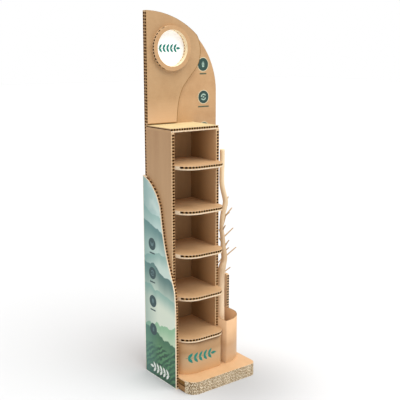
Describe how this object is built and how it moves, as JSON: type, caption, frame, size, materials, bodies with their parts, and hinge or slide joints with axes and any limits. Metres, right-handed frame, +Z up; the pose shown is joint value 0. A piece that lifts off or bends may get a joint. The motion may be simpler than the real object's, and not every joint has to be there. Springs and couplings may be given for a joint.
{
  "type": "cardboard display stand",
  "caption": "Free-standing fluted cardboard shop display: shelf cabinet on a stacked board base, swept printed side, tall header with round badge, and an open bin with a branch.",
  "frame": {"origin": "on the floor, in the middle of the outer box", "axes": "+Z up, +X to the right along the front, -Y towards the shopper"},
  "size_m": [0.4404, 0.3786, 1.806],
  "materials": {
    "kraft": "matte",
    "kraft_base": "matte",
    "print": "satin",
    "white": "matte",
    "wood": "matte"
  },
  "bodies": {
    "root": {"base_board_1": "kraft_base", "base_board_2": "kraft_base", "base_board_3": "kraft_base", "base_board_4": "kraft_base", "backboard": "kraft", "side_panel_right": "kraft", "cabinet_wall_left": "kraft", "cabinet_wall_right": "kraft", "cabinet_back": "kraft", "cabinet_top": "kraft", "kick_panel": "kraft", "bin_wrap": "kraft", "header_panel": "kraft", "badge_ring": "kraft", "shelf_1": "kraft", "shelf_2": "kraft", "shelf_3": "kraft", "shelf_4": "kraft", "shelf_5": "kraft", "side_panel_left": "print", "badge_disc": "white", "branch": "wood"}
  },
  "joints": []
}
